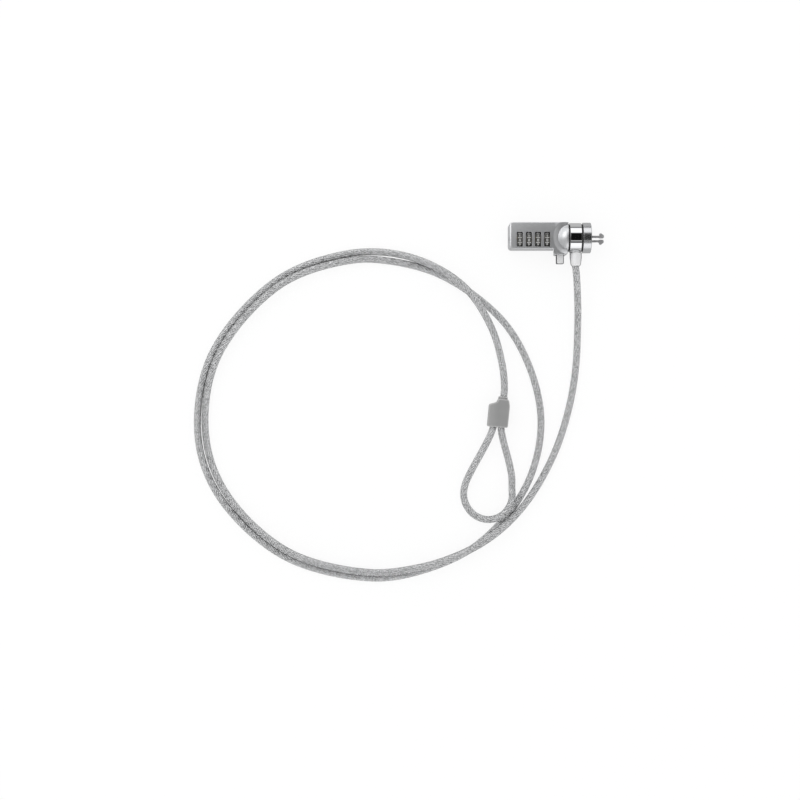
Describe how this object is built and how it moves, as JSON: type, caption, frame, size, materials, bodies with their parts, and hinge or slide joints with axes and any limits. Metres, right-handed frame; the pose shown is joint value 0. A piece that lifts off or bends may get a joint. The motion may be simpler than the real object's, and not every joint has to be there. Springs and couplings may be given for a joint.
{
  "type": "laptop cable lock",
  "caption": "Combination lock head with scissor hooks for a computer's security slot, on a swivel collar with a coiled, plastic-covered wire rope that ends in a loop.",
  "frame": {"origin": "on the flat back of the lock head, under the middle of the dial row and in line with the barrel; the coil lies on the same plane", "axes": "+X along the head towards the hooks at its nose, +Y across the head away from the push button and the cable, +Z out of the dial face"},
  "size_m": [0.2483, 0.2175, 0.0185],
  "materials": {
    "satin_silver": "satin silver paint on a zinc die casting",
    "chrome": "polished chrome plate",
    "steel": "plain ground steel",
    "black_plastic": "black acetal, digits printed light",
    "brass": "turned",
    "aluminium": "crimped",
    "clear_pvc": "clear, slightly cloudy",
    "grey_pvc": "soft moulded"
  },
  "bodies": {
    "cable_set": {"swivel_collar": "chrome", "cable_ferrule": "steel", "ferrule_pin": "steel", "cable_jacket": "clear_pvc", "wire_rope": "steel", "loop_ferrule": "aluminium", "loop_cover": "grey_pvc"},
    "lock_head": {"front_shell": "satin_silver", "back_shell": "satin_silver", "case_rivet_1": "steel", "case_rivet_2": "steel", "case_rivet_3": "steel", "case_rivet_4": "steel", "barrel_core": "steel", "nose_cap": "satin_silver", "nose_pin": "steel", "inner_washer": "black_plastic", "outer_washer": "black_plastic", "hook_pivot_pin": "steel", "hook_spring": "steel", "detent_spring": "steel", "spindle_spring": "steel"},
    "dial_unit_1": {"dial_1": "black_plastic", "dial_sleeve_1": "brass"},
    "dial_unit_2": {"dial_2": "black_plastic", "dial_sleeve_2": "brass"},
    "dial_unit_3": {"dial_3": "black_plastic", "dial_sleeve_3": "brass"},
    "dial_unit_4": {"dial_4": "black_plastic", "dial_sleeve_4": "brass"},
    "button": {"push_button": "chrome"},
    "release": {"spindle": "steel", "release_yoke": "steel"},
    "hook_upper": {"upper_hook": "steel"},
    "hook_lower": {"lower_hook": "steel"},
    "reset": {"reset_screw": "steel"}
  },
  "joints": [
    {"name": "head_swivel", "type": "hinge", "parent": "cable_set", "child": "lock_head", "pos_m": [0, 0, 0.0093], "axis": [1, 0, 0], "continuous": true},
    {"name": "dial_1_turn", "type": "hinge", "parent": "lock_head", "child": "dial_unit_1", "pos_m": [-0.00821, -0.00135, 0.01215], "axis": [1, 0, 0], "continuous": true},
    {"name": "dial_2_turn", "type": "hinge", "parent": "lock_head", "child": "dial_unit_2", "pos_m": [-0.00274, -0.00135, 0.01215], "axis": [1, 0, 0], "continuous": true},
    {"name": "dial_3_turn", "type": "hinge", "parent": "lock_head", "child": "dial_unit_3", "pos_m": [0.00274, -0.00135, 0.01215], "axis": [1, 0, 0], "continuous": true},
    {"name": "dial_4_turn", "type": "hinge", "parent": "lock_head", "child": "dial_unit_4", "pos_m": [0.00821, -0.00135, 0.01215], "axis": [1, 0, 0], "continuous": true},
    {"name": "button_press", "type": "slide", "parent": "lock_head", "child": "button", "axis": [0, 1, 0], "range_m": [0, 0.002]},
    {"name": "spindle_slide", "type": "slide", "parent": "lock_head", "child": "release", "axis": [-1, 0, 0], "range_m": [0, 0.002], "deforming": ["spindle_spring"]},
    {"name": "upper_hook_swing", "type": "hinge", "parent": "lock_head", "child": "hook_upper", "pos_m": [0.0265, -0.0003, 0.0093], "axis": [0, 0, -1], "range_deg": [0, 2.8]},
    {"name": "lower_hook_swing", "type": "hinge", "parent": "lock_head", "child": "hook_lower", "pos_m": [0.0265, -0.0003, 0.0093], "axis": [0, 0, 1], "range_deg": [0, 2.8]},
    {"name": "reset_turn", "type": "hinge", "parent": "lock_head", "child": "reset", "pos_m": [-0.013, -0.00135, 0.01215], "axis": [1, 0, 0], "range_deg": [0, 90]}
  ],
  "couplings": [
    {"joint": "spindle_slide", "follows": "button_press", "ratio": 1},
    {"joint": "upper_hook_swing", "follows": "button_press", "rad_per_m": 24.4},
    {"joint": "lower_hook_swing", "follows": "button_press", "rad_per_m": 24.4}
  ]
}
